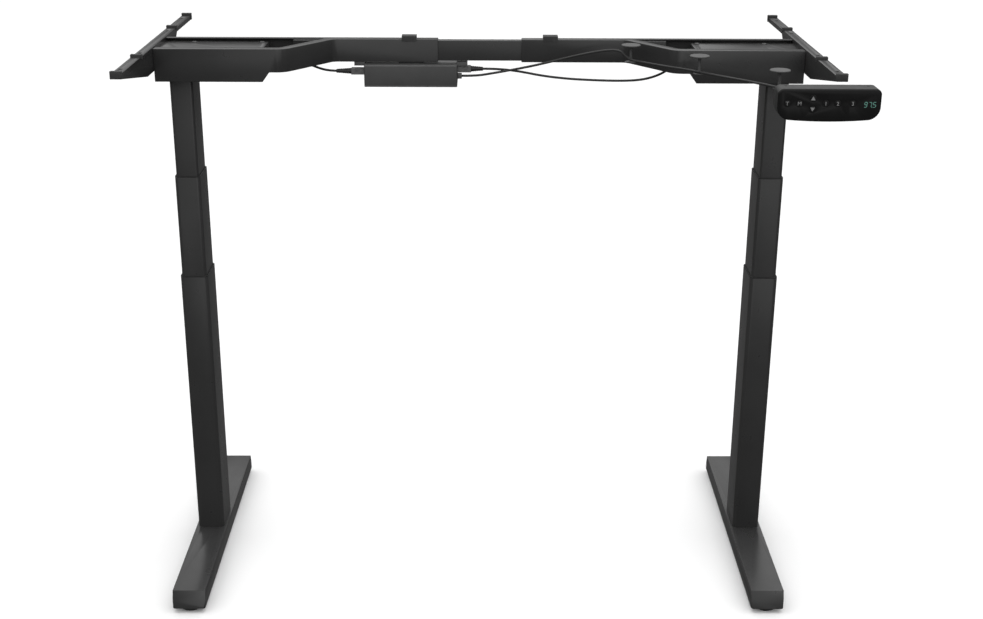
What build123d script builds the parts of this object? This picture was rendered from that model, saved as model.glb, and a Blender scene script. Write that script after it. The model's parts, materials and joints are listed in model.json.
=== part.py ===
"""Two-leg electric sit-stand desk frame with three-stage columns and a width-adjustable beam.

Millimetres. Origin on the floor midway between the legs, +X to the user's right, +Z up.
The user stands on the -Y side. Left pieces are built once and mirrored for the right.
"""
import os
from math import pi, radians, tan
from build123d import *

os.makedirs("parts", exist_ok=True)

# Driving dimensions
LEG_X = 517.5  # column centre to the middle of the desk
FRAME_TOP = 971.0  # top face of the side brackets
PAD_TOP = 975.0  # rubber pads that the tabletop rests on
FOOT_TOP = 40.0
FOOT_WIDTH = 58.0
FOOT_HALF_LENGTH = 283.0
STEEL = 2.0  # wall of the pressed steel parts
CLEARANCE = 0.3  # gap between pieces on different bodies

# Column tubes: width, depth, corner radius, low end, high end
OUTER = dict(width=50.0, depth=80.0, corner=8.0, low=FOOT_TOP, high=551.0)
MIDDLE = dict(width=45.0, depth=75.0, corner=6.5, low=226.0, high=737.0)
INNER = dict(width=40.0, depth=70.0, corner=5.0, low=412.0, high=918.0)
TUBE_WALL = 1.5
PLATE_THICKNESS = 6.0  # welded bottom plates of the outer and middle tubes

# Lifting screws
FIXED_SCREW_R = 5.0
FIXED_SCREW_TOP = 500.0
HOLLOW_SCREW_R = 9.0
NECK_R = 7.0  # hollow screw, where it turns in the middle tube's bottom plate
HOLLOW_SCREW_TOP = 732.0
DRIVE_TUBE_R = 13.0
NUT_HEIGHT = 18.0

# Head and beam
RAIL_TOP = FRAME_TOP - 2.0
RAIL_HEIGHT = 40.0
RAIL_LOW = RAIL_TOP - RAIL_HEIGHT
HEAD_LOW = 912.5
HEAD_END = 556.0  # outboard end of head and rails
HEAD_INBOARD = 374.0
RAIL_INBOARD = 74.0
FRONT_FACE_Y = -61.0
BEAM_FRONT_Y = 40.0
BEAM_REAR_Y = 60.0
FLANGE_SEAM_Y = 50.0
CASING_REAR = 48.0
PLATE_Z = 963.0  # top of the head cover plate
TUBE_HALF_LENGTH = 330.0

# Side brackets
BRACKET_OUT = 572.6
BRACKET_WIDTH = 16.6
BRACKET_HALF = 291.5

# Steel details
GLIDE_Y = 257.0
BASE_BOLTS = [(-LEG_X + 14.0 * sx, 28.0 * sy) for sx in (-1, 1) for sy in (-1, 1)]
CASING_TOP = PLATE_Z - 1.5
PLATE_SCREWS = [(-503.0, 38.0), (-384.0, 38.0), (-503.0, -50.0), (-384.0, -50.0)]
BRACKET_BOLTS = [(25.0 * side, z) for side in (-1, 1) for z in (940.0, 955.0)]
BRACKET_SCREWS = (-250.0, -110.0, 110.0, 250.0)
SCREW_LINE_X = -565.6
BAND_Y = 145.0
RAIL_FLANGE = 18.0
FIRST_BEND = (-333.0, FRONT_FACE_Y, 30.0)  # corner of the front rail's outer face, and its radius
SECOND_BEND = (-259.0, BEAM_FRONT_Y, 14.0)

# Control box, on the left half of the frame
BOX_LEFT = -205.0
BOX_RIGHT = -40.0
BOX_FRONT = 25.0
BOX_REAR = 110.0
BOX_LOW = 887.0
BOX_HIGH = 926.0
BOX_WALL = 2.5
EAR_LOW = 922.0  # underside of its mounting ears
INLET_X = -170.0

# Plugs on the box: middle of each, length of the body and of its boot
PLUG_Y = 50.0
LEFT_PLUG_Z = 911.0
RIGHT_PLUG_Z = 915.5
PLUG_LENGTH = 24.0
LEFT_BOOT = 27.0
RIGHT_BOOT = 22.0
PORT_Y = 36.0
PORT_Z = 905.5
PORT_LENGTH = 8.0

# Handset, fixed under the tabletop at the right front
HANDSET_LEFT = 446.5
HANDSET_RIGHT = 602.5
HANDSET_FRONT = -386.0
HANDSET_REAR = -352.0
HANDSET_LOW = 921.0
PANEL_BACK = HANDSET_FRONT + 3.0
HANDSET_SCREWS = (462.0, 587.0)
KEY_R = 5.0
KEY_TRAVEL = 0.6
KEY_ROW_Z = 949.0
KEYS = {
    "key_timer": (461.0, KEY_ROW_Z), "key_memory": (479.5, KEY_ROW_Z),
    "key_up": (499.5, KEY_ROW_Z + 8.0), "key_down": (499.5, KEY_ROW_Z - 9.0),
    "key_one": (519.0, KEY_ROW_Z), "key_two": (537.0, KEY_ROW_Z), "key_three": (559.5, KEY_ROW_Z),
}

# Cord hooks under the tabletop
HOOKS = [(262.0, -15.0), (367.0, -115.0), (478.0, -236.0)]
HOOK_LOW = 940.0

# Cords: the corners of each route
CORD_D = 4.2
CORD_ENTRY_Z = 945.0  # where the motor cords enter the heads
CORD_END_X = HEAD_INBOARD + 4.5
LEFT_CORD_X = BOX_LEFT - PLUG_LENGTH - LEFT_BOOT
RIGHT_CORD_X = BOX_RIGHT + PLUG_LENGTH + RIGHT_BOOT
LEFT_MOTOR_ROUTE = [
    (LEFT_CORD_X, PLUG_Y, LEFT_PLUG_Z), (-268, 49.6, 911.4), (-282, 46, 915), (-297, 38, 922.5),
    (-314, 26, 932.5), (-333, 10, 942), (-352, 0, CORD_ENTRY_Z), (-CORD_END_X, 0, CORD_ENTRY_Z),
]
RIGHT_MOTOR_ROUTE = [
    (RIGHT_CORD_X, PLUG_Y, RIGHT_PLUG_Z), (34, PLUG_Y, RIGHT_PLUG_Z), (72, 49.5, 911),
    (112, 49, 903.2), (158, 48, 898.2), (208, 46, 896.2), (252, 42, 896), (288, 36, 899),
    (315, 27, 908.5), (334, 14, 923), (346, 5, 936), (358, 0, CORD_ENTRY_Z),
    (CORD_END_X, 0, CORD_ENTRY_Z),
]
HANDSET_ROUTE = [
    (BOX_RIGHT + PORT_LENGTH, PORT_Y, PORT_Z), (-6, PORT_Y, PORT_Z), (22, 34, 910.5), (57, 30, 917.5),
    (95, 25, 926), (134, 17, 937), (172, 7.5, 948), (207, -3, 957), (234, -12, 961.5),
    (247, -18.5, 958.5), (254, -23.5, 950.5), (263, -27, 945.8), (280, -37, 944.5),
    (312, -67, 943.8), (350, -103, 944.6), (392, -150, 943.9), (431, -192, 944.4),
    (462, -230, 944.6), (476, -262, 946.5), (479, -292, 950), (477, -322, 953),
    (477, HANDSET_REAR, 953),
]


def block(x0, x1, y0, y1, z0, z1):
    """Box from its low and high corners."""
    size = (x1 - x0, y1 - y0, z1 - z0)
    return Pos((x0 + x1) / 2, (y0 + y1) / 2, (z0 + z1) / 2) * Box(*size)


def post(x, y, radius, z0, z1):
    """Upright cylinder."""
    return Pos(x, y, (z0 + z1) / 2) * Cylinder(radius, z1 - z0)


def rod_x(x0, x1, y, z, radius):
    """Cylinder along X."""
    return Pos((x0 + x1) / 2, y, z) * Rot(0, 90, 0) * Cylinder(radius, x1 - x0)


def rod_y(x, y0, y1, z, radius):
    """Cylinder along Y."""
    return Pos(x, (y0 + y1) / 2, z) * Rot(90, 0, 0) * Cylinder(radius, y1 - y0)


def bar(width, depth, corner, z0, z1, x=-LEG_X):
    """Upright bar with rounded corners."""
    return extrude(Pos(x, 0, z0) * RectangleRounded(width, depth, corner), amount=z1 - z0)


def outline_yz(points, x0, x1):
    """Flat YZ outline pushed from x0 to x1."""
    face = make_face(Polyline(*[(x0, y, z) for y, z in points], close=True))
    return extrude(face, amount=x1 - x0, dir=(1, 0, 0))


def outline_xz(points, y0, y1):
    """Flat XZ outline pushed from y0 to y1."""
    face = make_face(Polyline(*[(x, y0, z) for x, z in points], close=True))
    return extrude(face, amount=y1 - y0, dir=(0, 1, 0))


def group(solids):
    """Separate solids kept as one node."""
    return Compound(children=[solid for shape in solids for solid in shape.solids()])


def save(name, shape):
    """Write one node."""
    export_step(shape, f"parts/{name}.step")


def save_pair(name, shape):
    """Write a left piece and its mirror image on the right."""
    save(f"left_{name}", shape)
    save(f"right_{name}", group([mirror(shape, about=Plane.YZ)]))


# ---- Feet ----
def foot():
    """Folded steel foot, open underneath, with a screw plate near each end."""
    half = FOOT_WIDTH / 2
    flat_end = 272.0
    wall_low = 9.0
    profile = [(-FOOT_HALF_LENGTH, wall_low), (-flat_end, FOOT_TOP),
               (flat_end, FOOT_TOP), (FOOT_HALF_LENGTH, wall_low)]
    shell = outline_yz(profile, -LEG_X - half, -LEG_X + half)
    shell &= bar(FOOT_WIDTH, 2 * FOOT_HALF_LENGTH, 6, 0, FOOT_TOP)
    hollow_low = FOOT_HALF_LENGTH - STEEL
    hollow_high = flat_end - STEEL
    ceiling = FOOT_TOP - STEEL - 0.4
    hollow = [(-hollow_low, wall_low - 1), (-hollow_high, ceiling),
              (hollow_high, ceiling), (hollow_low, wall_low - 1)]
    shell -= outline_yz(hollow, -LEG_X - half + STEEL, -LEG_X + half - STEEL)
    for side in (-1, 1):
        middle = side * GLIDE_Y
        shell += block(-LEG_X - half + 1, -LEG_X + half - 1, middle - 14, middle + 14, 20, 24)
        shell -= post(-LEG_X, middle, 4.1, 19, 25)
    for x, y in BASE_BOLTS:
        shell -= post(x, y, 4.3, FOOT_TOP - 4, FOOT_TOP + 1)
    return shell


def glide(side):
    """Levelling foot: plastic disc, hexagon and M8 stud."""
    y = side * GLIDE_Y
    disc = post(-LEG_X, y, 19, 0, 7)
    disc = chamfer(disc.edges().group_by(Axis.Z)[-1], 2)
    hexagon = extrude(Pos(-LEG_X, y, 7) * RegularPolygon(7.5, 6), amount=5)
    return disc + hexagon + post(-LEG_X, y, 4, 12, 34)


def base_bolt(x, y):
    """M8 socket screw from inside the foot into the column's bottom plate."""
    under = FOOT_TOP - STEEL - 0.4
    head = post(x, y, 6.5, under - 8, under)
    head -= extrude(Pos(x, y, under - 8) * RegularPolygon(3.4, 6), amount=4)
    return head + post(x, y, 4, under, FOOT_TOP + PLATE_THICKNESS)


save_pair("foot", foot())
save_pair("front_glide", glide(-1))
save_pair("rear_glide", glide(1))
save_pair("base_bolts", group([base_bolt(x, y) for x, y in BASE_BOLTS]))


# ---- Column tubes and their guide collars ----
def tube(spec):
    """Rounded rectangular tube."""
    wall = 2 * TUBE_WALL
    outside = bar(spec["width"], spec["depth"], spec["corner"], spec["low"], spec["high"])
    inside = bar(spec["width"] - wall, spec["depth"] - wall, spec["corner"] - TUBE_WALL,
                 spec["low"], spec["high"])
    return outside - inside


def collar(spec, slider):
    """Plastic guide in the mouth of a tube, around the next smaller tube."""
    lip = 2.0
    skirt = 25.0
    inner_wall = 2 * TUBE_WALL + 0.1
    ring = bar(spec["width"], spec["depth"], spec["corner"], spec["high"], spec["high"] + lip)
    low = spec["high"] - skirt
    ring += bar(spec["width"] - inner_wall, spec["depth"] - inner_wall, spec["corner"] - TUBE_WALL,
                low, spec["high"])
    gap = 2 * CLEARANCE
    return ring - bar(slider["width"] + gap, slider["depth"] + gap, slider["corner"] + CLEARANCE,
                      low - 1, spec["high"] + lip + 1)


def bottom_plate(spec):
    """Plate welded into the low end of a tube."""
    wall = 2 * TUBE_WALL - 0.2
    return bar(spec["width"] - wall, spec["depth"] - wall, spec["corner"] - TUBE_WALL,
               spec["low"], spec["low"] + PLATE_THICKNESS)


def drilled(shape, spec, x, y, radius):
    """Hole through the bottom plate of a tube."""
    return shape - post(x, y, radius, spec["low"] - 1, spec["low"] + PLATE_THICKNESS + 1)


outer_tube = tube(OUTER) + bottom_plate(OUTER)
for bolt_x, bolt_y in BASE_BOLTS:
    outer_tube = drilled(outer_tube, OUTER, bolt_x, bolt_y, 4.1)
outer_tube = drilled(outer_tube, OUTER, -LEG_X, 0, FIXED_SCREW_R + 0.1)
middle_tube = drilled(tube(MIDDLE) + bottom_plate(MIDDLE), MIDDLE, -LEG_X, 0, NECK_R + 0.1)
save_pair("outer_tube", outer_tube)
save_pair("middle_tube", middle_tube)
save_pair("inner_tube", tube(INNER))
save_pair("outer_collar", collar(OUTER, MIDDLE))
save_pair("middle_collar", collar(MIDDLE, INNER))


# ---- Lifting screws ----
def fixed_screw():
    """Lower screw, standing on the outer tube's bottom plate and not turning."""
    flange_low = FOOT_TOP + PLATE_THICKNESS
    return post(-LEG_X, 0, FIXED_SCREW_R, FOOT_TOP, FIXED_SCREW_TOP) + \
        post(-LEG_X, 0, 9, flange_low, flange_low + 4)


def hollow_screw():
    """Middle screw, a nut for the fixed screw inside and a thread outside."""
    low = MIDDLE["low"]
    shoulder = low + PLATE_THICKNESS + 0.2
    body = post(-LEG_X, 0, NECK_R, low, shoulder)
    body += post(-LEG_X, 0, HOLLOW_SCREW_R, shoulder, HOLLOW_SCREW_TOP)
    body += post(-LEG_X, 0, 10, HOLLOW_SCREW_TOP - 10, HOLLOW_SCREW_TOP)
    return body - post(-LEG_X, 0, FIXED_SCREW_R + CLEARANCE, low - 1, HOLLOW_SCREW_TOP + 1)


def drive_tube():
    """Splined tube that hangs from the gearbox and turns the hollow screw."""
    low = INNER["low"] + NUT_HEIGHT + 4
    high = INNER["high"] + 11.5
    body = post(-LEG_X, 0, DRIVE_TUBE_R, low, high)
    return body - post(-LEG_X, 0, 10 + CLEARANCE, low - 1, high + 1)


def lift_nut():
    """Plastic nut block pressed into the inner tube's low end."""
    wall = 2 * TUBE_WALL + 0.1
    low = INNER["low"]
    body = bar(INNER["width"] - wall, INNER["depth"] - wall, INNER["corner"] - TUBE_WALL,
               low, low + NUT_HEIGHT)
    return body - post(-LEG_X, 0, HOLLOW_SCREW_R + CLEARANCE, low - 1, low + NUT_HEIGHT + 1)


save_pair("fixed_screw", fixed_screw())
save_pair("hollow_screw", hollow_screw())
save_pair("drive_tube", drive_tube())
save_pair("lift_nut", lift_nut())


# ---- Motor heads ----
def head_casing():
    """Open-topped steel box around the gearmotor."""
    front = FRONT_FACE_Y + STEEL
    casing = block(-HEAD_END, -HEAD_INBOARD, front, CASING_REAR, HEAD_LOW, CASING_TOP)
    wall = 1.5
    casing -= block(-HEAD_END + wall, -HEAD_INBOARD - wall, front + wall, CASING_REAR - wall,
                    HEAD_LOW + wall, CASING_TOP + 1)
    casing -= bar(INNER["width"] + 0.1, INNER["depth"] + 0.1, INNER["corner"], HEAD_LOW - 1, HEAD_LOW + 3)
    for y, z in BRACKET_BOLTS:
        casing -= rod_x(-HEAD_END - 1, -HEAD_END + 3, y, z, 3.1)
    entry = rod_x(-HEAD_INBOARD - 3, -HEAD_INBOARD + 1, 0, CORD_ENTRY_Z, CORD_D / 2 + 0.2)
    return casing - entry


def head_plate():
    """Cover plate over the casing, recessed between the rails."""
    plate = block(-HEAD_END, -HEAD_INBOARD, FRONT_FACE_Y + STEEL, CASING_REAR, CASING_TOP, PLATE_Z)
    corner = plate.edges().filter_by(Axis.Z).sort_by(Axis.X)[-2:]
    plate = fillet(corner, 4)
    for x, y in PLATE_SCREWS:
        plate -= post(x, y, 2.1, CASING_TOP - 1, PLATE_Z + 1)
    return plate


def gearmotor():
    """Gearbox on the inner tube's top with the motor lying along the head."""
    low = INNER["high"]
    gearbox = block(-LEG_X - 22, -LEG_X + 24, -34, 34, low, low + 43)
    gearbox = fillet(gearbox.edges().filter_by(Axis.Z), 6)
    can = rod_x(-LEG_X + 23, -384, 0, low + 21.5, 19.5)
    boss = rod_x(-385, -380, 0, low + 21.5, 9)
    return gearbox + can + boss - post(-LEG_X, 0, DRIVE_TUBE_R + CLEARANCE, low - 1, low + 12)


def plate_screw(x, y):
    """Pan-head screw in the cover plate."""
    return post(x, y, 4.5, PLATE_Z, PLATE_Z + 2.2) + post(x, y, 2, CASING_TOP, PLATE_Z)


def bracket_bolt(y, z):
    """Bolt with its nut, through the bracket's web and the casing wall."""
    head = rod_x(-563.5, -558.5, y, z, 5)
    shank = rod_x(-558.5, -548.5, y, z, 3)
    nut = rod_x(-554.5, -549.5, y, z, 5.2)
    return head + shank + nut


save_pair("head_casing", head_casing())
save_pair("head_plate", head_plate())
save_pair("gearmotor", gearmotor())
save_pair("top_bolts", group([plate_screw(x, y) for x, y in PLATE_SCREWS]
                             + [bracket_bolt(y, z) for y, z in BRACKET_BOLTS]))


# ---- Beam ----
def strip(near, far, near_radii, far_radii, z0, z1):
    """Bent strip between two plan paths."""
    first = FilletPolyline(*[(x, y, z0) for x, y in near], radius=near_radii)
    second = FilletPolyline(*[(x, y, z0) for x, y in far], radius=far_radii)
    ends = [Line(first @ 0, second @ 0), Line(first @ 1, second @ 1)]
    return extrude(make_face(first.edges() + second.edges() + [line.edge() for line in ends]),
                   amount=z1 - z0, dir=(0, 0, 1))


def front_path(depth):
    """Plan path of the front rail at a given depth behind its outer face."""
    slope = Vector(SECOND_BEND[0] - FIRST_BEND[0], SECOND_BEND[1] - FIRST_BEND[1]).get_angle(Vector(1, 0))
    shift = depth * tan(radians(slope / 2))
    return [(-HEAD_END, FRONT_FACE_Y + depth), (FIRST_BEND[0] - shift, FRONT_FACE_Y + depth),
            (SECOND_BEND[0] - shift, BEAM_FRONT_Y + depth), (-RAIL_INBOARD, BEAM_FRONT_Y + depth)]


def rail_layer(depth, z0, z1):
    """Strip of the front rail from its outer face to the given depth."""
    radii = [FIRST_BEND[2], SECOND_BEND[2]]
    return strip(front_path(0), front_path(depth), radii, [radii[0] - depth, radii[1] + depth], z0, z1)


def front_rail():
    """Bent channel from the front of the head to the front of the beam."""
    room = block(-HEAD_END, 0, FRONT_FACE_Y, FLANGE_SEAM_Y, RAIL_LOW, RAIL_TOP)
    rail = rail_layer(STEEL, RAIL_LOW, RAIL_TOP)
    rail += rail_layer(RAIL_FLANGE, RAIL_TOP - STEEL, RAIL_TOP) & room
    low_flange = rail_layer(RAIL_FLANGE, RAIL_LOW, RAIL_LOW + STEEL) & room
    rail += low_flange - block(-HEAD_END, -HEAD_INBOARD + 3, FRONT_FACE_Y, 50, RAIL_LOW, RAIL_LOW + STEEL)
    skirt = [(-HEAD_END, HEAD_LOW), (-HEAD_INBOARD + 2, HEAD_LOW), (-HEAD_INBOARD + 14, RAIL_LOW),
             (-HEAD_INBOARD + 14, RAIL_LOW + 5), (-HEAD_END, RAIL_LOW + 5)]
    return rail + outline_xz(skirt, FRONT_FACE_Y, FRONT_FACE_Y + STEEL)


def rear_rail():
    """Straight channel along the back of the beam."""
    rail = block(-HEAD_END, -RAIL_INBOARD, FLANGE_SEAM_Y, BEAM_REAR_Y, RAIL_LOW, RAIL_TOP)
    return rail - block(-HEAD_END - 1, -RAIL_INBOARD + 1, FLANGE_SEAM_Y - 1, BEAM_REAR_Y - STEEL,
                        RAIL_LOW + STEEL, RAIL_TOP - STEEL)


def centre_tube():
    """Rectangular tube that slides in both halves of the beam."""
    gap = STEEL + CLEARANCE
    inset = gap + 1.5
    half = TUBE_HALF_LENGTH
    tube_box = block(-half, half, BEAM_FRONT_Y + gap, BEAM_REAR_Y - gap,
                     RAIL_LOW + gap, RAIL_TOP - gap)
    return tube_box - block(-half - 1, half + 1, BEAM_FRONT_Y + inset, BEAM_REAR_Y - inset,
                            RAIL_LOW + inset, RAIL_TOP - inset)


save_pair("front_rail", front_rail())
save_pair("rear_rail", rear_rail())
save("centre_tube", centre_tube())


# ---- Side brackets and pads ----
def side_bracket():
    """Tabletop bracket: flat flange on a web that tapers forward and stops short at the rear."""
    inner = -BRACKET_OUT + BRACKET_WIDTH
    flange = block(-BRACKET_OUT, inner, -BRACKET_HALF, BRACKET_HALF, RAIL_TOP, FRAME_TOP)
    for y in BRACKET_SCREWS:
        flange -= post(SCREW_LINE_X, y, 3.1, RAIL_TOP - 1, FRAME_TOP + 1)
    web_low = [(-BRACKET_HALF, 963), (-110, 931), (110, 931), (150, 963), (BRACKET_HALF, 963)]
    web = web_low + [(BRACKET_HALF, RAIL_TOP), (-BRACKET_HALF, RAIL_TOP)]
    bracket = flange + outline_yz(web, -558.5, -HEAD_END)
    for y, z in BRACKET_BOLTS:
        bracket -= rod_x(-560, -554, y, z, 3.1)
    return bracket


def bracket_pads(bracket):
    """Rubber end caps and bands on the bracket."""
    out = -BRACKET_OUT - 1
    inner = -BRACKET_OUT + BRACKET_WIDTH + 1
    cap_length = 9
    cap_low = 963
    pads = []
    for side in (-1, 1):
        ends = sorted([side * (BRACKET_HALF + 1), side * (BRACKET_HALF + 1 - cap_length)])
        cap = block(out, inner, *ends, cap_low, PAD_TOP)
        pads.append(fillet(cap.edges().filter_by(Axis.Z), 2) - bracket)
        middle = side * BAND_Y
        band = block(out, inner, middle - 4.5, middle + 4.5, RAIL_TOP - 1.5, PAD_TOP)
        pads.append(band - bracket)
    return pads


def beam_pad():
    """Pad over the top front edge of the beam."""
    pad = block(-138, -112, BEAM_FRONT_Y - 1.5, BEAM_REAR_Y - 1, RAIL_TOP - 3, PAD_TOP)
    pad -= block(-139, -111, BEAM_FRONT_Y, BEAM_REAR_Y, RAIL_TOP - 4, RAIL_TOP)
    return pad


left_bracket = side_bracket()
left_pads = bracket_pads(left_bracket) + [beam_pad()]
spacer = block(-144, -100, 43, 57, BOX_HIGH, RAIL_LOW)
save_pair("side_bracket", left_bracket)
save("left_pads", group(left_pads + [spacer]))
save("right_pads", group([mirror(pad, about=Plane.YZ) for pad in left_pads]))


# ---- Control box ----
def box_cover():
    """Top shell of the control box with a mounting ear at each end and the mains inlet."""
    cover = block(BOX_LEFT, BOX_RIGHT, BOX_FRONT, BOX_REAR, BOX_LOW + 3, BOX_HIGH)
    cover = fillet(cover.edges().filter_by(Axis.Z) + cover.edges().group_by(Axis.Z)[-1], 2.5)
    cover -= block(BOX_LEFT + BOX_WALL, BOX_RIGHT - BOX_WALL, BOX_FRONT + BOX_WALL, BOX_REAR - BOX_WALL,
                   BOX_LOW + 2, BOX_HIGH - BOX_WALL)
    for x0, x1 in ((BOX_LEFT - 18, BOX_LEFT + 1), (BOX_RIGHT - 1, BOX_RIGHT + 18)):
        cover += block(x0, x1, PLUG_Y - 9, PLUG_Y + 9, EAR_LOW, RAIL_LOW)
    cover += block(INLET_X - 17, INLET_X + 17, BOX_REAR - 18, BOX_REAR - 1, 892, 920)
    cover -= block(INLET_X - 13, INLET_X + 13, BOX_REAR - 15, BOX_REAR + 1, 897, 915)
    for pin_x in (INLET_X - 7, INLET_X, INLET_X + 7):
        cover += block(pin_x - 1, pin_x + 1, BOX_REAR - 16, BOX_REAR - 6.5, 904, 908)
    return cover


def box_base():
    """Bottom shell of the control box."""
    base = block(BOX_LEFT, BOX_RIGHT, BOX_FRONT, BOX_REAR, BOX_LOW, BOX_LOW + 3)
    return fillet(base.edges().filter_by(Axis.Z), 2.5)


def plug(side, start, z, boot_length):
    """Motor plug: square body at the box and a tapered boot."""
    body_end = start + side * PLUG_LENGTH
    ends = sorted([start, body_end])
    body = block(*ends, PLUG_Y - 7, PLUG_Y + 7, z - 5.5, z + 5.5)
    body = fillet(body.edges().filter_by(Axis.X), 2)
    boot = Rot(0, 90 * side, 0) * Cone(5.5, 3.5, boot_length)
    return body + Pos(body_end + side * boot_length / 2, PLUG_Y, z) * boot


port_end = BOX_RIGHT + PORT_LENGTH
handset_plug = block(BOX_RIGHT, port_end, PORT_Y - 5, PORT_Y + 5, PORT_Z - 4.5, PORT_Z + 4.5)
save("control_box_cover", box_cover())
save("control_box_base", box_base())
save("motor_plugs", group([plug(-1, BOX_LEFT, LEFT_PLUG_Z, LEFT_BOOT),
                           plug(1, BOX_RIGHT, RIGHT_PLUG_Z, RIGHT_BOOT)]))
save("handset_plug", handset_plug)


# ---- Cords ----
def cord(name, route):
    """Round cord along straight runs joined by the largest tangent arcs."""
    points = [Vector(*point) for point in route]
    runs = [points[i + 1] - points[i] for i in range(len(points) - 1)]
    radii = []
    for before, after in zip(runs, runs[1:]):
        turn = before.get_angle(after)
        radii.append(0.45 * min(before.length, after.length) / tan(radians(turn / 2)))
    path = FilletPolyline(*points, radius=radii)
    solid = sweep(Plane(origin=path @ 0, z_dir=path % 0) * Circle(CORD_D / 2), path=path)
    expected = pi * CORD_D ** 2 / 4 * path.length
    print(name, "length", round(path.length, 1), "volume ratio", round(solid.volume / expected, 4))
    print("  radii", [round(radius, 1) for radius in radii])
    print("  runs", [round(run.length, 1) for run in runs])
    save(name, solid)


cord("left_motor_cord", LEFT_MOTOR_ROUTE)
cord("right_motor_cord", RIGHT_MOTOR_ROUTE)
cord("handset_cord", HANDSET_ROUTE)


# ---- Cord hooks, fixed under the tabletop ----
def hook(x, y):
    """Round base, short stem and a small foot that holds the cord up."""
    base = post(x, y, 16.5, FRAME_TOP - 2.5, FRAME_TOP)
    stem = post(x, y, 2.5, HOOK_LOW + 2, FRAME_TOP - 2.5)
    return base + stem + post(x, y, 10, HOOK_LOW, HOOK_LOW + 2)


save("cord_hooks", group([hook(x, y) for x, y in HOOKS]))


# ---- Handset ----
def handset_outline(y0, y1, inset=0.0):
    """Front outline of the handset with a bowed lower edge, pushed from y0 to y1."""
    left = HANDSET_LEFT + inset
    right = HANDSET_RIGHT - inset
    top = FRAME_TOP - inset
    side_low = HANDSET_LOW + 4 + inset
    middle = (left + right) / 2
    edges = [Line((left, y0, side_low), (left, y0, top)), Line((left, y0, top), (right, y0, top)),
             Line((right, y0, top), (right, y0, side_low)),
             ThreePointArc((right, y0, side_low), (middle, y0, HANDSET_LOW + inset), (left, y0, side_low))]
    body = extrude(make_face([edge.edge() for edge in edges]), amount=y1 - y0, dir=(0, 1, 0))
    corners = body.edges().filter_by(Axis.Y)
    body = fillet(corners.group_by(Axis.Z)[0], 20 - inset)
    return fillet(body.edges().filter_by(Axis.Y).group_by(Axis.Z)[-1], 9 - inset)


handset_shell = handset_outline(PANEL_BACK, HANDSET_REAR)
handset_panel = handset_outline(HANDSET_FRONT, PANEL_BACK)
under_cut = [(HANDSET_REAR - 24, 912), (HANDSET_REAR + 1, 912), (HANDSET_REAR + 1, 948)]
handset_shell -= outline_yz(under_cut, HANDSET_LEFT - 5, HANDSET_RIGHT + 5)
for screw_x in HANDSET_SCREWS:
    handset_shell -= post(screw_x, HANDSET_REAR - 10, 2.25, 900, FRAME_TOP + 1)
key_back = PANEL_BACK + 2
key_room = key_back + KEY_TRAVEL + CLEARANCE
for key_name, (key_x, key_z) in KEYS.items():
    handset_panel -= rod_y(key_x, HANDSET_FRONT - 1, PANEL_BACK + 1, key_z, KEY_R + CLEARANCE)
    handset_shell -= rod_y(key_x, PANEL_BACK - 1, key_room, key_z, KEY_R + CLEARANCE)
    save(key_name, rod_y(key_x, HANDSET_FRONT, key_back, key_z, KEY_R))
save("handset_shell", handset_shell)
save("handset_panel", handset_panel)
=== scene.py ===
"""Looks of the electric desk frame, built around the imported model. Metres, in the model's own frame."""

import json
from math import cos, pi, radians, sin

import bmesh
import bpy
from mathutils import Matrix, Vector


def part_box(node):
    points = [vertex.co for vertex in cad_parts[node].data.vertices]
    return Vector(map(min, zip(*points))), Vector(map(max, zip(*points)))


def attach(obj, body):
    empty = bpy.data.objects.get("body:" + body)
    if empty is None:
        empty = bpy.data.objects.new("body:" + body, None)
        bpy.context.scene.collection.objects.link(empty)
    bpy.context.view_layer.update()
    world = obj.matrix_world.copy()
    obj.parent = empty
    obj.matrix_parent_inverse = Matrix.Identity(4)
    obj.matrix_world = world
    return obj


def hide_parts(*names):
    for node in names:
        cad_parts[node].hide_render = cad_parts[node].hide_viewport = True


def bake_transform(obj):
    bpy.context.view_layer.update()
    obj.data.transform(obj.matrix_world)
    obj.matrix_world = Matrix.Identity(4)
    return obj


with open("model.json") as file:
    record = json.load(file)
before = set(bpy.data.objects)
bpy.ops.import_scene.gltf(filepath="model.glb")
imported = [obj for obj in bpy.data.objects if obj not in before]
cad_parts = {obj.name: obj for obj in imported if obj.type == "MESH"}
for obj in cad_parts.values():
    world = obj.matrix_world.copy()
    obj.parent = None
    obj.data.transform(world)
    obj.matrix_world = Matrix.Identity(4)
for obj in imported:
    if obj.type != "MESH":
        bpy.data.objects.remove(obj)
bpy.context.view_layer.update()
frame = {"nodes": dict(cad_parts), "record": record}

MM = 0.001
WELD_DISTANCE = 1e-6
FLAT_ANGLE = radians(0.4)    # faces closer to one plane than this become one face
SHARP_EDGE = radians(38)     # edges sharper than this are rounded
TURNED_CREASE = radians(40)  # turned and joined shapes keep edges sharper than this crisp
CARVED_CREASE = radians(35)  # the same for carved shapes
BODY_OF = {node: body for body, nodes in frame["record"]["behaviour"]["bodies"].items() for node in nodes}
SLOT_OF = {row["node"]: row["material_slot"] for row in frame["record"]["subparts"]}


# ---- Camera, light and floor ----
def make_camera():
    """A normal lens at shoulder height in front of the desk, looking down on it."""
    lens = bpy.data.cameras.new("camera")
    lens.sensor_width = 36.0
    lens.lens = 52.99
    lens.clip_end = 100.0
    camera = bpy.data.objects.new("camera", lens)
    bpy.context.scene.collection.objects.link(camera)
    turn = (Matrix.Rotation(radians(-0.48), 4, "Z") @ Matrix.Rotation(radians(69.6), 4, "X")
            @ Matrix.Rotation(radians(0.29), 4, "Z"))
    camera.matrix_world = Matrix.Translation((0.0015, -2.5221, 1.4133)) @ turn
    bpy.context.scene.camera = camera


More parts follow.
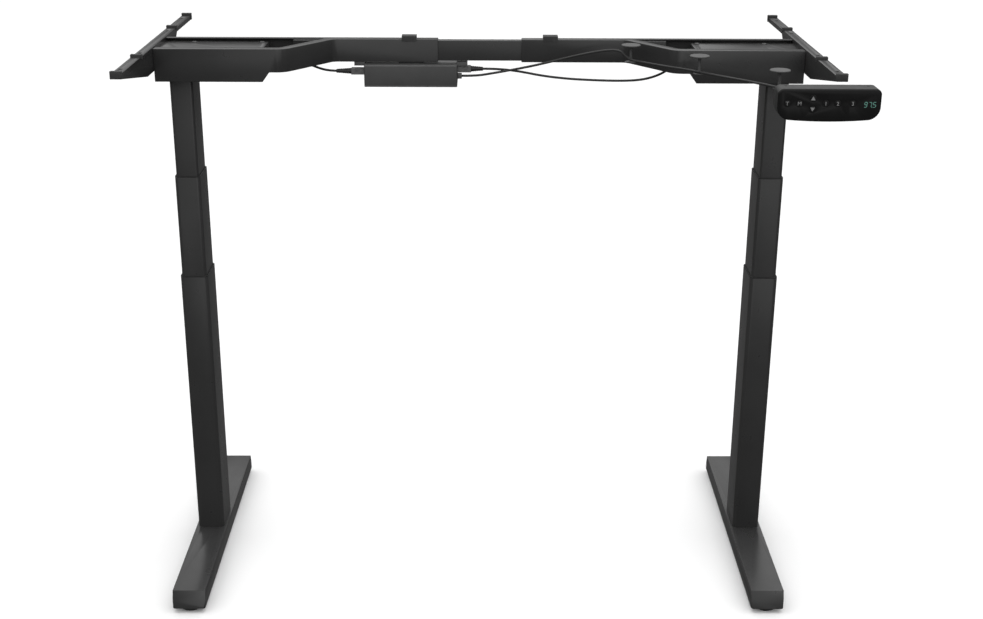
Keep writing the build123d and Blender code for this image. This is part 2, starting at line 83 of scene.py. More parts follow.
def area_light(name, place, target, size, power):
    """Square soft light aimed at a point."""
    light = bpy.data.lights.new(name, "AREA")
    light.shape = "SQUARE"
    light.size = size
    light.energy = power
    holder = bpy.data.objects.new(name, light)
    bpy.context.scene.collection.objects.link(holder)
    holder.location = place
    holder.rotation_euler = (Vector(target) - Vector(place)).to_track_quat("-Z", "Y").to_euler()


def make_sky():
    """Studio room: bright above, dark near the horizon, and plain white where the camera sees it."""
    world = bpy.data.worlds.new("studio")
    bpy.context.scene.world = world
    world.use_nodes = True
    tree = world.node_tree
    room = tree.nodes["Background"]
    room.inputs["Strength"].default_value = 1.3
    backdrop = tree.nodes.new("ShaderNodeBackground")
    backdrop.inputs["Color"].default_value = (1.0, 1.0, 1.0, 1.0)
    direction = tree.nodes.new("ShaderNodeTexCoord")
    split = tree.nodes.new("ShaderNodeSeparateXYZ")
    ramp = tree.nodes.new("ShaderNodeValToRGB")
    low, high = ramp.color_ramp.elements
    low.position, low.color = sin(radians(9)), (0.10, 0.10, 0.10, 1.0)
    high.position, high.color = sin(radians(26)), (1.0, 1.0, 1.0, 1.0)
    seen = tree.nodes.new("ShaderNodeLightPath")
    choice = tree.nodes.new("ShaderNodeMixShader")
    tree.links.new(direction.outputs["Generated"], split.inputs["Vector"])
    tree.links.new(split.outputs["Z"], ramp.inputs["Fac"])
    tree.links.new(ramp.outputs["Color"], room.inputs["Color"])
    tree.links.new(seen.outputs["Is Camera Ray"], choice.inputs["Fac"])
    tree.links.new(room.outputs["Background"], choice.inputs[1])
    tree.links.new(backdrop.outputs["Background"], choice.inputs[2])
    tree.links.new(choice.outputs["Shader"], tree.nodes["World Output"].inputs["Surface"])


def make_lights():
    """Soft panel overhead, and a larger one far in front and above head height."""
    area_light("overhead", place=(0.0, 0.6, 4.2), target=(0.0, 0.0, 0.5), size=4.5, power=25.0)
    area_light("front", place=(0.0, -7.0, 2.6), target=(0.0, 0.0, 0.8), size=6.0, power=105.0)
    bpy.context.scene.view_settings.view_transform = "Standard"


def make_floor(finish):
    """Wide pale floor, which neither lights the desk nor is mirrored in it."""
    mesh = bpy.data.meshes.new("floor")
    reach = 60.0
    mesh.from_pydata([(-reach, -reach, 0), (reach, -reach, 0), (reach, reach, 0), (-reach, reach, 0)], [],
                     [(0, 1, 2, 3)])
    mesh.materials.append(finish)
    floor = bpy.data.objects.new("floor", mesh)
    bpy.context.scene.collection.objects.link(floor)
    floor.visible_diffuse = False
    floor.visible_glossy = False


# ---- Materials ----
def shader(name, roughness, metallic=0.0, specular=0.5):
    """Material with a principled shader, and its node tree."""
    made = bpy.data.materials.new(name)
    made.use_nodes = True
    surface = made.node_tree.nodes["Principled BSDF"]
    surface.inputs["Roughness"].default_value = roughness
    surface.inputs["Metallic"].default_value = metallic
    surface.inputs["Specular IOR Level"].default_value = specular
    return made, made.node_tree, surface


def noise(tree, size, detail=3.0):
    """Noise whose features are about size metres across."""
    place = tree.nodes.new("ShaderNodeTexCoord")
    made = tree.nodes.new("ShaderNodeTexNoise")
    made.inputs["Scale"].default_value = 1.0 / size
    made.inputs["Detail"].default_value = detail
    tree.links.new(place.outputs["Object"], made.inputs["Vector"])
    return made.outputs["Fac"]


def between(tree, amount, low, high):
    """Value from low to high as amount goes over the middle of its range."""
    made = tree.nodes.new("ShaderNodeMapRange")
    made.inputs["From Min"].default_value = 0.3
    made.inputs["From Max"].default_value = 0.7
    made.inputs["To Min"].default_value = low
    made.inputs["To Max"].default_value = high
    tree.links.new(amount, made.inputs["Value"])
    return made.outputs["Result"]


def colours(tree, amount, dark, light):
    """Colour ramp between two colours."""
    made = tree.nodes.new("ShaderNodeValToRGB")
    made.color_ramp.elements[0].position = 0.32
    made.color_ramp.elements[0].color = (*dark, 1.0)
    made.color_ramp.elements[1].position = 0.68
    made.color_ramp.elements[1].color = (*light, 1.0)
    tree.links.new(amount, made.inputs["Fac"])
    return made.outputs["Color"]


def bump(tree, surface, height, depth, strength):
    """Relief of the given depth in metres."""
    made = tree.nodes.new("ShaderNodeBump")
    made.inputs["Distance"].default_value = depth
    made.inputs["Strength"].default_value = strength
    tree.links.new(height, made.inputs["Height"])
    tree.links.new(made.outputs["Normal"], surface.inputs["Normal"])


def finish_of(name, dark, light, rough, grain, depth, strength, cloud, metallic=0.0, specular=0.5):
    """Finish with slow colour clouds, uneven gloss and a fine surface grain.

    Grain, depth and cloud are in metres.
    """
    made, tree, surface = shader(name, rough[0], metallic, specular)
    tone = colours(tree, noise(tree, cloud, 4.0), dark, light)
    tree.links.new(tone, surface.inputs["Base Color"])
    gloss = between(tree, noise(tree, cloud * 0.4, 5.0), *rough)
    tree.links.new(gloss, surface.inputs["Roughness"])
    bump(tree, surface, noise(tree, grain, 2.0), depth, strength)
    return made


def grey(value):
    """Neutral grey."""
    return (value, value, value)


def threaded_steel():
    """Greased steel with the rings of a thread."""
    made, tree, surface = shader("screw_steel", 0.3, 1.0)
    place = tree.nodes.new("ShaderNodeTexCoord")
    wave = tree.nodes.new("ShaderNodeTexWave")
    wave.bands_direction = "Z"
    wave.inputs["Scale"].default_value = 55.0
    tree.links.new(place.outputs["Object"], wave.inputs["Vector"])
    tree.links.new(colours(tree, noise(tree, 0.02), grey(0.3), grey(0.48)), surface.inputs["Base Color"])
    bump(tree, surface, wave.outputs["Fac"], 0.0008, 0.8)
    return made


def glowing(name, colour, strength):
    """Lit display segment."""
    made, tree, surface = shader(name, 0.4)
    amount = noise(tree, 0.002)
    dim = tuple(0.85 * part for part in colour)
    tree.links.new(colours(tree, amount, dim, colour), surface.inputs["Base Color"])
    surface.inputs["Emission Color"].default_value = (*colour, 1.0)
    surface.inputs["Emission Strength"].default_value = strength
    return made


FINISH = {
    "frame_steel": finish_of("frame_steel", grey(0.029), grey(0.034), (0.27, 0.31),
                             grain=0.0014, depth=0.00003, strength=0.15, cloud=0.09, specular=0.36),
    "guide_plastic": finish_of("guide_plastic", grey(0.003), grey(0.005), (0.55, 0.7),
                               grain=0.0005, depth=0.00003, strength=0.3, cloud=0.02),
    "pad_rubber": finish_of("pad_rubber", grey(0.028), grey(0.036), (0.7, 0.85),
                            grain=0.0012, depth=0.00008, strength=0.5, cloud=0.012),
    "glide_plastic": finish_of("glide_plastic", grey(0.012), grey(0.018), (0.5, 0.65),
                               grain=0.0008, depth=0.00004, strength=0.4, cloud=0.02),
    "screw_steel": threaded_steel(),
    "nut_plastic": finish_of("nut_plastic", grey(0.72), (0.8, 0.8, 0.76), (0.4, 0.5),
                             grain=0.001, depth=0.00002, strength=0.3, cloud=0.03),
    "motor_metal": finish_of("motor_metal", grey(0.16), grey(0.23), (0.4, 0.55),
                             grain=0.0015, depth=0.00008, strength=0.5, cloud=0.02, metallic=0.9),
    "bolt_steel": finish_of("bolt_steel", grey(0.045), grey(0.075), (0.35, 0.5),
                            grain=0.0006, depth=0.00003, strength=0.4, cloud=0.004, metallic=0.6),
    "box_plastic": finish_of("box_plastic", grey(0.056), grey(0.066), (0.45, 0.55),
                             grain=0.0007, depth=0.00005, strength=0.5, cloud=0.04),
    "plug_plastic": finish_of("plug_plastic", grey(0.10), grey(0.125), (0.5, 0.6),
                              grain=0.0008, depth=0.00003, strength=0.3, cloud=0.02),
    "cord_jacket": finish_of("cord_jacket", grey(0.012), grey(0.018), (0.45, 0.6),
                             grain=0.0009, depth=0.00004, strength=0.4, cloud=0.01),
    "handset_plastic": finish_of("handset_plastic", grey(0.013), grey(0.017), (0.5, 0.6),
                                 grain=0.0007, depth=0.00004, strength=0.4, cloud=0.03),
    "panel_plastic": finish_of("panel_plastic", grey(0.009), grey(0.011), (0.24, 0.27),
                               grain=0.02, depth=0.00002, strength=0.15, cloud=0.03, specular=0.14),
    "key_plastic": finish_of("key_plastic", grey(0.010), grey(0.012), (0.26, 0.30),
                             grain=0.01, depth=0.00002, strength=0.15, cloud=0.01, specular=0.14),
}
INK = finish_of("symbol_ink", grey(0.20), grey(0.25), (0.5, 0.6),
                grain=0.0004, depth=0.00001, strength=0.3, cloud=0.002)
TEAL = glowing("display_teal", (0.09, 0.22, 0.18), 0.4)
FLOOR = finish_of("floor", grey(0.86), grey(0.88), (0.75, 0.85),
                  grain=0.01, depth=0.0001, strength=0.1, cloud=1.5, specular=0.2)


# ---- Shared piece tools ----
def add(name, mesh, body, slot, replaced=(), finish=None):
    """Puts a mesh in the scene on a body, with its slot's finish, in place of the named nodes."""
    piece = bpy.data.objects.new(name, mesh)
    bpy.context.scene.collection.objects.link(piece)
    mesh.materials.clear()
    mesh.materials.append(finish or FINISH[slot])
    if replaced:
        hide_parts(*replaced)
    if body:
        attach(piece, body)
    return piece


def welded(node):
    """A node's mesh with shared corners and whole flat faces."""
    work = bmesh.new()
    work.from_mesh(frame["nodes"][node].data)
    bmesh.ops.remove_doubles(work, verts=work.verts, dist=WELD_DISTANCE)
    bmesh.ops.dissolve_limit(work, angle_limit=FLAT_ANGLE, verts=work.verts, edges=work.edges)
    bmesh.ops.recalc_face_normals(work, faces=work.faces)
    mesh = bpy.data.meshes.new(node)
    work.to_mesh(mesh)
    work.free()
    mesh.shade_smooth()
    return mesh


def softened(node, radius):
    """A node's form with every sharp edge rounded, as folded steel and moulded plastic have them."""
    piece = add(node + ".form", welded(node), BODY_OF[node], SLOT_OF[node], [node])
    bevel = piece.modifiers.new("edges", "BEVEL")
    bevel.width = radius
    bevel.segments = 3
    bevel.limit_method = "ANGLE"
    bevel.angle_limit = SHARP_EDGE
    bevel.use_clamp_overlap = True
    bevel.harden_normals = True
    return piece


def lathe(profile, steps=40):
    """Mesh turned about Z from (radius, height) points, closed where the radius is nought."""
    work = bmesh.new()
    rings = []
    for radius, height in profile:
        count = steps if radius > 0 else 1
        turns = [2 * pi * i / steps for i in range(count)]
        rings.append([work.verts.new((radius * cos(turn), radius * sin(turn), height)) for turn in turns])
    for low, high in zip(rings, rings[1:]):
        for i in range(steps):
            j = i + 1
            corners = [low[i % len(low)], low[j % len(low)], high[j % len(high)], high[i % len(high)]]
            face = list(dict.fromkeys(corners))
            if len(face) > 2:
                work.faces.new(face)
    bmesh.ops.recalc_face_normals(work, faces=work.faces)
    mesh = bpy.data.meshes.new("turned")
    work.to_mesh(mesh)
    work.free()
    mesh.shade_smooth()
    mesh.set_sharp_from_angle(angle=TURNED_CREASE)
    return mesh


def in_metres(profile):
    """Points in metres from points in millimetres."""
    return [(radius * MM, height * MM) for radius, height in profile]


def joined(meshes, name):
    """One mesh from several."""
    work = bmesh.new()
    for mesh in meshes:
        work.from_mesh(mesh)
    whole = bpy.data.meshes.new(name)
    work.to_mesh(whole)
    work.free()
    whole.shade_smooth()
    whole.set_sharp_from_angle(angle=TURNED_CREASE)
    return whole


def placed(mesh, matrix):
    """The mesh moved into place."""
    mesh.transform(matrix)
    if matrix.determinant() < 0:
        mesh.flip_normals()
    return mesh


def cuboid(size, centre):
    """Box mesh with the given size and centre."""
    work = bmesh.new()
    bmesh.ops.create_cube(work, size=1.0)
    place = Matrix.Translation(centre) @ Matrix.Diagonal((*size, 1.0))
    bmesh.ops.transform(work, matrix=place, verts=work.verts)
    mesh = bpy.data.meshes.new("cuboid")
    work.to_mesh(mesh)
    work.free()
    return mesh


def carved(mesh, cutters):
    """The mesh with each cutter's volume taken out."""
    for cutter in cutters:
        target = bpy.data.objects.new("target", mesh)
        tool = bpy.data.objects.new("tool", cutter)
        for item in (target, tool):
            bpy.context.scene.collection.objects.link(item)
        cut = target.modifiers.new("cut", "BOOLEAN")
        cut.operation = "DIFFERENCE"
        cut.object = tool
        mesh = bpy.data.meshes.new_from_object(target.evaluated_get(bpy.context.evaluated_depsgraph_get()))
        for item in (target, tool):
            bpy.data.objects.remove(item)
    mesh.shade_smooth()
    mesh.set_sharp_from_angle(angle=CARVED_CREASE)
    return mesh


# ---- Cords ----
CORD_D = 4.2 * MM
PLUG_SIZE = (24 * MM, 14 * MM, 11 * MM)
LEFT_PLUG_REACH = 51 * MM   # from the back of the plug to the end of its boot
RIGHT_PLUG_REACH = 46 * MM
RIB_PITCH = 3.2 * MM
LEFT_MOTOR_ROUTE = [
    (-0.256, 0.050, 0.911), (-0.268, 0.0496, 0.9114), (-0.282, 0.046, 0.915),
    (-0.297, 0.038, 0.9225), (-0.314, 0.026, 0.9325), (-0.333, 0.010, 0.942),
    (-0.352, 0.0, 0.945), (-0.3785, 0.0, 0.945),
]
RIGHT_MOTOR_ROUTE = [
    (0.006, 0.050, 0.9155), (0.034, 0.050, 0.9155), (0.072, 0.0495, 0.911),
    (0.112, 0.049, 0.9032), (0.158, 0.048, 0.8982), (0.208, 0.046, 0.8962),
    (0.252, 0.042, 0.896), (0.288, 0.036, 0.899), (0.315, 0.027, 0.9085),
    (0.334, 0.014, 0.923), (0.346, 0.005, 0.936), (0.358, 0.0, 0.945),
    (0.3785, 0.0, 0.945),
]
HANDSET_ROUTE = [
    (-0.032, 0.036, 0.9055), (-0.006, 0.036, 0.9055), (0.022, 0.034, 0.9105),
    (0.057, 0.030, 0.9175), (0.095, 0.025, 0.926), (0.134, 0.017, 0.937),
    (0.172, 0.0075, 0.948), (0.207, -0.003, 0.957), (0.234, -0.012, 0.9615),
    (0.247, -0.0185, 0.9585), (0.254, -0.0235, 0.9505), (0.263, -0.027, 0.9458),
    (0.280, -0.037, 0.9445), (0.312, -0.067, 0.9438), (0.350, -0.103, 0.9446),
    (0.392, -0.150, 0.9439), (0.431, -0.192, 0.9444), (0.462, -0.230, 0.9446),
    (0.476, -0.262, 0.9465), (0.479, -0.292, 0.950), (0.477, -0.322, 0.953),
    (0.477, -0.352, 0.953),
]


def route_curve(name, route):
    """Smooth curve with the route's points as its control points."""
    curve = bpy.data.curves.new(name, "CURVE")
    curve.dimensions = "3D"
    curve.resolution_u = 10
    spline = curve.splines.new("NURBS")
    spline.points.add(len(route) - 1)
    for point, place in zip(spline.points, route):
        point.co = (*place, 1.0)
    spline.order_u = 3
    spline.use_endpoint_u = True
    piece = bpy.data.objects.new(name, curve)
    bpy.context.scene.collection.objects.link(piece)
    return piece


def tube_along(points, radius, steps=14):
    """Closed round tube through the points, with no twist."""
    work = bmesh.new()
    across = Vector((0, 0, 1))
    turns = [2 * pi * k / steps for k in range(steps)]
    rings = []
    for i, point in enumerate(points):
        ahead = (points[min(i + 1, len(points) - 1)] - points[max(i - 1, 0)]).normalized()
        across = (across - ahead * across.dot(ahead)).normalized()
        beside = ahead.cross(across)
        rings.append([work.verts.new(point + radius * (across * cos(turn) + beside * sin(turn)))
                      for turn in turns])
    for low, high in zip(rings, rings[1:]):
        for k in range(steps):
            work.faces.new([low[k], low[(k + 1) % steps], high[(k + 1) % steps], high[k]])
    work.faces.new(rings[0][::-1])
    work.faces.new(rings[-1])
    bmesh.ops.recalc_face_normals(work, faces=work.faces)
    mesh = bpy.data.meshes.new("tube")
    work.to_mesh(mesh)
    work.free()
    mesh.shade_smooth()
    return mesh


def bending_cord(name, node, route):
    """Cord between the two halves of the frame, as one fixed tube along its route."""
    guide = route_curve(name + ".guide", route)
    line = bpy.data.meshes.new_from_object(guide)
    points = [vertex.co.copy() for vertex in line.vertices]
    bpy.data.objects.remove(guide)
    cord = add(name, tube_along(points, CORD_D / 2), None, "cord_jacket", [node])
    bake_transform(cord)


def ribbed_boot(length):
    """Tapered strain relief with ribs, along Z from the plug."""
    profile = [(0.0, -1.0 * MM), (5.4 * MM, -1.0 * MM)]
    ribs = int(length / RIB_PITCH)
    step = length / ribs
    for i in range(ribs):
        low = length * i / ribs
        rib = (5.4 - 1.9 * (i + 0.5) / ribs) * MM
        groove = rib - 0.55 * MM
        profile += [(rib, low + 0.1 * step), (rib, low + 0.6 * step),
                    (groove, low + 0.7 * step), (groove, low + 0.95 * step)]
    profile += [(2.6 * MM, length), (0.0, length)]
    return lathe(profile, 28)


def motor_plug(name, start, end_x):
    """Plug body with a finger grip on each side, and its ribbed boot. They point from start along X."""
    side = 1 if end_x > start.x else -1
    length = PLUG_SIZE[0]
    middle = start + Vector((side * length / 2, 0, 0))
    body = cuboid(PLUG_SIZE, middle)
    grips = []
    for i in range(4):
        for face in (-1, 1):
            spot = middle + Vector((side * (i * 2.6 - 2) * MM, face * 7.4 * MM, 0))
            grips.append(cuboid((1.2 * MM, 2.0 * MM, 8 * MM), spot))
    turn = Matrix.Rotation(radians(90 * side), 4, "Y")
    boot_start = start + Vector((side * length, 0, 0))
    boot = placed(ribbed_boot(abs(end_x - boot_start.x)), Matrix.Translation(boot_start) @ turn)
    shell = rounded_box(carved(body, grips), 1.0 * MM)
    return [add(name + "_plug", shell, "left_top", "plug_plastic", ["motor_plugs"]),
            add(name + "_boot", boot, "left_top", "cord_jacket", ["motor_plugs"])]


def rounded_box(mesh, radius):
    """The mesh with its sharp edges rounded."""
    holder = bpy.data.objects.new("holder", mesh)
    bpy.context.scene.collection.objects.link(holder)
    bevel = holder.modifiers.new("edges", "BEVEL")
    bevel.width = radius
    bevel.segments = 3
    bevel.angle_limit = SHARP_EDGE
    made = bpy.data.meshes.new_from_object(holder.evaluated_get(bpy.context.evaluated_depsgraph_get()))
    bpy.data.objects.remove(holder)
    return made


def make_cords():
    """Both motor cords and the handset cord, with their plugs."""
    x, y, z = LEFT_MOTOR_ROUTE[0]
    left_plug = motor_plug("left_motor", Vector((x + LEFT_PLUG_REACH, y, z)), x)
    x, y, z = RIGHT_MOTOR_ROUTE[0]
    right_plug = motor_plug("right_motor", Vector((x - RIGHT_PLUG_REACH, y, z)), x)
    handset_plug = softened("handset_plug", 0.9 * MM)

    left = route_curve("left_motor_lead", LEFT_MOTOR_ROUTE)
    left.data.bevel_depth = CORD_D / 2
    left.data.bevel_resolution = 4
    left.data.use_fill_caps = True
    left.data.materials.append(FINISH["cord_jacket"])
    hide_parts("left_motor_cord")
    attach(left, "left_top")

    bending_cord("right_motor_lead", "right_motor_cord", RIGHT_MOTOR_ROUTE)
    bending_cord("handset_lead", "handset_cord", HANDSET_ROUTE)


# ---- Steel frame ----
EDGE_RADIUS = {
    "foot": 1.4 * MM, "outer_tube": 0.6 * MM, "middle_tube": 0.6 * MM, "inner_tube": 0.6 * MM,
    "outer_collar": 0.5 * MM, "middle_collar": 0.5 * MM, "head_casing": 0.7 * MM, "head_plate": 0.6 * MM,
    "front_rail": 0.8 * MM, "rear_rail": 0.8 * MM, "side_bracket": 0.7 * MM, "pads": 0.9 * MM,
}


def make_frame():
    """Every visible steel, guide and pad node with rounded edges."""
    for side in ("left_", "right_"):
        for node, radius in EDGE_RADIUS.items():
            softened(side + node, radius)
    softened("centre_tube", 0.7 * MM)


# ---- Screws and bolts ----
BOLT_Y = 25 * MM
BOLT_HEIGHTS = (0.940, 0.955)
WEB_THICKNESS = 2.5 * MM


def cross_screw():
    """Pan-head screw with a cross recess, head upwards from height nought."""
    head = lathe([(0, 2.2 * MM), (1.6 * MM, 2.15 * MM), (3.0 * MM, 1.85 * MM), (4.0 * MM, 1.25 * MM),
                  (4.5 * MM, 0.5 * MM), (4.5 * MM, 0.0), (2.0 * MM, 0.0), (2.0 * MM, -1.5 * MM),
                  (0, -1.5 * MM)])
    slots = [cuboid((4.8 * MM, 1.0 * MM, 2.4 * MM), (0, 0, 2.2 * MM)),
             cuboid((1.0 * MM, 4.8 * MM, 2.4 * MM), (0, 0, 2.2 * MM))]
    return carved(head, slots)


def socket_bolt():
    """Socket-head bolt and its nut. The head points to -Z, with its underside at height nought."""
    head = lathe([(0, -5.0 * MM), (4.5 * MM, -5.0 * MM), (5.0 * MM, -4.5 * MM), (5.0 * MM, 0.0), (0, 0)])
    socket = lathe([(0, -6.0 * MM), (2.9 * MM, -6.0 * MM), (2.9 * MM, -2.0 * MM), (0, -2.0 * MM)], 6)
    shank = lathe([(0, 0), (3.0 * MM, 0), (3.0 * MM, 9.6 * MM), (2.6 * MM, 10.0 * MM), (0, 10.0 * MM)], 24)
    nut = lathe([(0, 4.0 * MM), (4.9 * MM, 4.0 * MM), (5.2 * MM, 4.4 * MM), (5.2 * MM, 8.6 * MM),
                 (4.9 * MM, 9.0 * MM), (0, 9.0 * MM)], 6)
    return joined([carved(head, [socket]), shank, nut], "bolt")


def make_screws():
    """Cover plate screws and bracket bolts on both heads."""
    low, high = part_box("left_head_plate")
    left_x, right_x = low.x + 53 * MM, high.x - 10 * MM
    rear_y, front_y = high.y - 10 * MM, low.y + 9 * MM
    plate_spots = [(left_x, rear_y), (right_x, rear_y), (left_x, front_y), (right_x, front_y)]
    web_outer_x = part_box("left_head_casing")[0].x - WEB_THICKNESS
    for side, turn in (("left", 1.0), ("right", -1.0)):
        mirror = Matrix.Scale(turn, 4, (1, 0, 0))
        parts = []
        for i, (x, y) in enumerate(plate_spots):
            spot = Matrix.Translation((x, y, high.z)) @ Matrix.Rotation(radians(17 + 31 * i), 4, "Z")
            parts.append(placed(cross_screw(), mirror @ spot))
        for y in (-BOLT_Y, BOLT_Y):
            for z in BOLT_HEIGHTS:
                spot = Matrix.Translation((web_outer_x, y, z)) @ Matrix.Rotation(radians(90), 4, "Y")
                parts.append(placed(socket_bolt(), mirror @ spot))
        name = side + "_screws"
        add(name, joined(parts, name), side + "_top", "bolt_steel", [side + "_top_bolts"])


# ---- Glides and cord hooks ----
THREAD_PITCH = 1.25          # millimetres, as in the profile it is used in
GLIDE_RIBS = 48
RIB_DEPTH = 0.5 * MM
HOOK_SPOTS = [(0.262, -0.015), (0.367, -0.115), (0.478, -0.236)]


def make_glides():
    """Levelling glides: ribbed disc, hexagon and threaded stud."""
    disc = [(0, 0), (17.6, 0), (18.6, 0.5), (19.0, 1.4), (19.0, 4.8), (18.4, 5.6), (17.0, 6.8),
            (16.0, 7.0), (0, 7.0)]
    nut = [(0, 7.0), (7.1, 7.0), (7.5, 7.4), (7.5, 11.6), (7.1, 12.0), (0, 12.0)]
    stud = [(0, 12.0)]
    for turn in range(16):
        rise = THREAD_PITCH * turn
        stud += [(4.0, 12.1 + rise), (4.0, 12.5 + rise), (3.45, 12.9 + rise)]
    stud += [(3.45, 32.6), (3.0, 34.0), (0, 34.0)]
    for node in ("left_front_glide", "left_rear_glide", "right_front_glide", "right_rear_glide"):
        low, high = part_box(node)
        rim = lathe(in_metres(disc), 4 * GLIDE_RIBS)
        for vertex in rim.vertices:
            reach = vertex.co.xy.length
            if reach > 18.8 * MM:
                around = vertex.co.xy.angle_signed(Vector((1, 0)))
                vertex.co.xy *= 1 - RIB_DEPTH / reach * (0.5 + 0.5 * cos(GLIDE_RIBS * around))
        parts = [rim, lathe(in_metres(nut), 6), lathe(in_metres(stud), 24)]
        centre = (low + high) / 2
        body = placed(joined(parts, node), Matrix.Translation((centre.x, centre.y, 0)))
        add(node + ".form", body, node, "glide_plastic", [node])


def make_hooks():
    """Cord hooks: a round base with a flared stem and a small round foot."""
    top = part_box("cord_hooks")[1].z
    profile = [(0, 0), (15.8, 0), (16.5, -0.6), (16.5, -1.7), (15.9, -2.4), (8, -2.5), (5.0, -3.1),
               (3.4, -4.4), (2.6, -6.5), (2.5, -10), (2.5, -24), (2.9, -26.6), (4.2, -28.3), (6.5, -29.0),
               (9.4, -29.1), (10, -29.6), (10, -30.4), (9.4, -31.0), (0, -31.0)]
    parts = [placed(lathe(in_metres(profile), 56), Matrix.Translation((x, y, top))) for x, y in HOOK_SPOTS]
    add("cord_hooks.form", joined(parts, "cord_hooks"), "right_top", SLOT_OF["cord_hooks"], ["cord_hooks"])


# ---- Control box ----
def make_control_box():
    """Cover and base shells of the control box."""
    softened("control_box_cover", 0.6 * MM)
    softened("control_box_base", 0.9 * MM)


# ---- Handset ----
KEY_NODES = ("key_timer", "key_memory", "key_up", "key_down", "key_one", "key_two", "key_three")
KEY_EDGE = 0.12 * MM
CAPITAL_SHARE = 0.7          # height of a capital as a share of the font's size
PRINT_THICKNESS = 0.08 * MM
SYMBOL_HEIGHT = 5.6 * MM
ARROW_SIZE = 6.0 * MM
DIGIT_PITCH = 6.6 * MM


def front_plate(node, radius, small):
    """The glossy front: a wide rounding on its outline and a fine one round the keys."""
    mesh = welded(node)
    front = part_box(node)[0].y
    keys = [(low + high) / 2 for low, high in map(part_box, KEY_NODES)]
    work = bmesh.new()
    work.from_mesh(mesh)
    weight = work.edges.layers.float.new("bevel_weight_edge")
    for edge in work.edges:
        middle = (edge.verts[0].co + edge.verts[1].co) / 2
        if abs(middle.y - front) > 0.1 * MM or edge.calc_face_angle(0) < SHARP_EDGE:
            continue
        near_key = min((middle.xz - key.xz).length for key in keys) < 7 * MM
        edge[weight] = small / radius if near_key else 1.0
    work.to_mesh(mesh)
    work.free()
    piece = add(node + ".form", mesh, BODY_OF[node], SLOT_OF[node], [node])
    bevel = piece.modifiers.new("edges", "BEVEL")
    bevel.width = radius
    bevel.segments = 4
    bevel.limit_method = "WEIGHT"
    bevel.harden_normals = True


def glyph(text, height):
    """Flat raised character, facing -Y and centred on the origin."""
    curve = bpy.data.curves.new("glyph", "FONT")
    curve.body = text
    curve.size = height / CAPITAL_SHARE
    curve.extrude = PRINT_THICKNESS / 2
    curve.offset = 0.10 * MM
    holder = bpy.data.objects.new("glyph", curve)
    bpy.context.scene.collection.objects.link(holder)
    bpy.context.view_layer.update()
    mesh = bpy.data.meshes.new_from_object(holder.evaluated_get(bpy.context.evaluated_depsgraph_get()))
    bpy.data.objects.remove(holder)
    xs = [vertex.co.x for vertex in mesh.vertices]
    ys = [vertex.co.y for vertex in mesh.vertices]
    shift = Matrix.Translation((-(min(xs) + max(xs)) / 2, -(min(ys) + max(ys)) / 2, 0))
    return placed(mesh, Matrix.Rotation(radians(90), 4, "X") @ shift)


def flat_shape(points, thickness):
    """Thin plate from an outline in X and Z, facing -Y."""
    work = bmesh.new()
    front = [work.verts.new((x, -thickness / 2, z)) for x, z in points]
    back = [work.verts.new((x, thickness / 2, z)) for x, z in points]
    work.faces.new(front)
    work.faces.new(back[::-1])
    for i in range(len(points)):
        j = (i + 1) % len(points)
        work.faces.new([front[i], front[j], back[j], back[i]])
    bmesh.ops.recalc_face_normals(work, faces=work.faces)
    mesh = bpy.data.meshes.new("plate")
    work.to_mesh(mesh)
    work.free()
    return mesh


def arrow(size, way):
    """Triangle pointing up (1) or down (-1)."""
    half = size / 2
    return flat_shape([(-half * 1.15, -half * way), (half * 1.15, -half * way), (0, half * way)],
                      PRINT_THICKNESS)


SEGMENTS_OF = {"9": "abcdfg", "7": "abc", "5": "acdfg"}


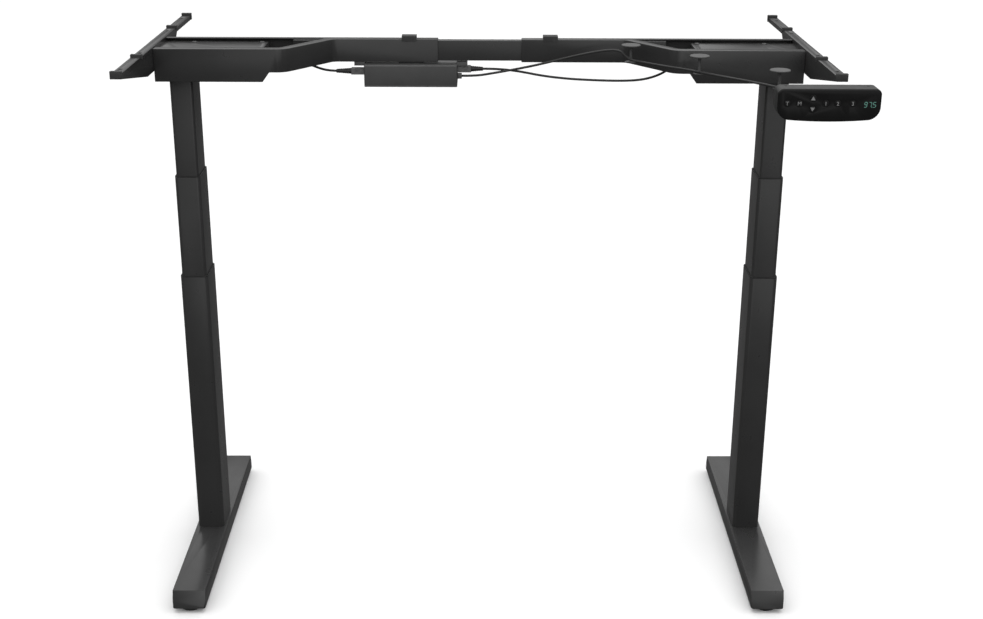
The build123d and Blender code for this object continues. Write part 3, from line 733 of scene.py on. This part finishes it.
def digit(character, width, height, stroke, lean):
    """Seven-segment digit, leaning to the right."""
    half_w, half_h, half = width / 2, height / 2, stroke / 2
    across = {"a": half_h, "g": 0.0, "d": -half_h}
    upright = {"f": (-half_w, half_h / 2), "b": (half_w, half_h / 2), "c": (half_w, -half_h / 2)}
    meshes = []
    for name in SEGMENTS_OF[character]:
        if name in across:
            z, reach = across[name], half_w - 0.15 * MM
            points = [(-reach, z), (-reach + half, z + half), (reach - half, z + half),
                      (reach, z), (reach - half, z - half), (-reach + half, z - half)]
        else:
            (x, z), reach = upright[name], half_h / 2 - 0.15 * MM
            points = [(x, z + reach), (x + half, z + reach - half), (x + half, z - reach + half),
                      (x, z - reach), (x - half, z - reach + half), (x - half, z + reach - half)]
        meshes.append(flat_shape([(x + lean * z, z) for x, z in points], PRINT_THICKNESS))
    return joined(meshes, "digit")


def make_handset():
    """Grey shell, glossy front, seven keys with their symbols, and the lit height in centimetres."""
    softened("handset_shell", 0.9 * MM)
    front_plate("handset_panel", 2.4 * MM, KEY_EDGE)
    symbol = {"key_timer": glyph("T", SYMBOL_HEIGHT), "key_memory": glyph("M", SYMBOL_HEIGHT),
              "key_up": arrow(ARROW_SIZE, 1), "key_down": arrow(ARROW_SIZE, -1),
              "key_one": glyph("1", SYMBOL_HEIGHT), "key_two": glyph("2", SYMBOL_HEIGHT),
              "key_three": glyph("3", SYMBOL_HEIGHT)}
    for key, mesh in symbol.items():
        softened(key, KEY_EDGE)
        low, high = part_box(key)
        spot = Matrix.Translation(((low.x + high.x) / 2, low.y, (low.z + high.z) / 2))
        add(key + "_symbol", placed(mesh, spot), key, "key_plastic", finish=INK)
    low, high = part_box("handset_panel")
    centre = Vector((high.x - 17 * MM, low.y, (low.z + high.z) / 2 + 1.5 * MM))
    digits = []
    for i, character in enumerate("975"):
        shape = digit(character, width=4.0 * MM, height=7.6 * MM, stroke=1.0 * MM, lean=0.14)
        digits.append(placed(shape, Matrix.Translation(centre + Vector(((i - 1) * DIGIT_PITCH, 0, 0)))))
    half, radius = PRINT_THICKNESS / 2, 0.6 * MM
    point = lathe([(0, -half), (radius, -half), (radius, half), (0, half)], 16)
    corner = centre + Vector((2.9 * MM, 0, -3.8 * MM))
    digits.append(placed(point, Matrix.Translation(corner) @ Matrix.Rotation(radians(90), 4, "X")))
    add("display_digits", joined(digits, "display_digits"), "right_top", "panel_plastic", finish=TEAL)


make_camera()
make_sky()
make_lights()
make_floor(FLOOR)
make_cords()
make_frame()
make_screws()
make_glides()
make_hooks()
make_control_box()
make_handset()
for node, piece in frame["nodes"].items():
    piece.data.materials.clear()
    piece.data.materials.append(FINISH[SLOT_OF[node]])
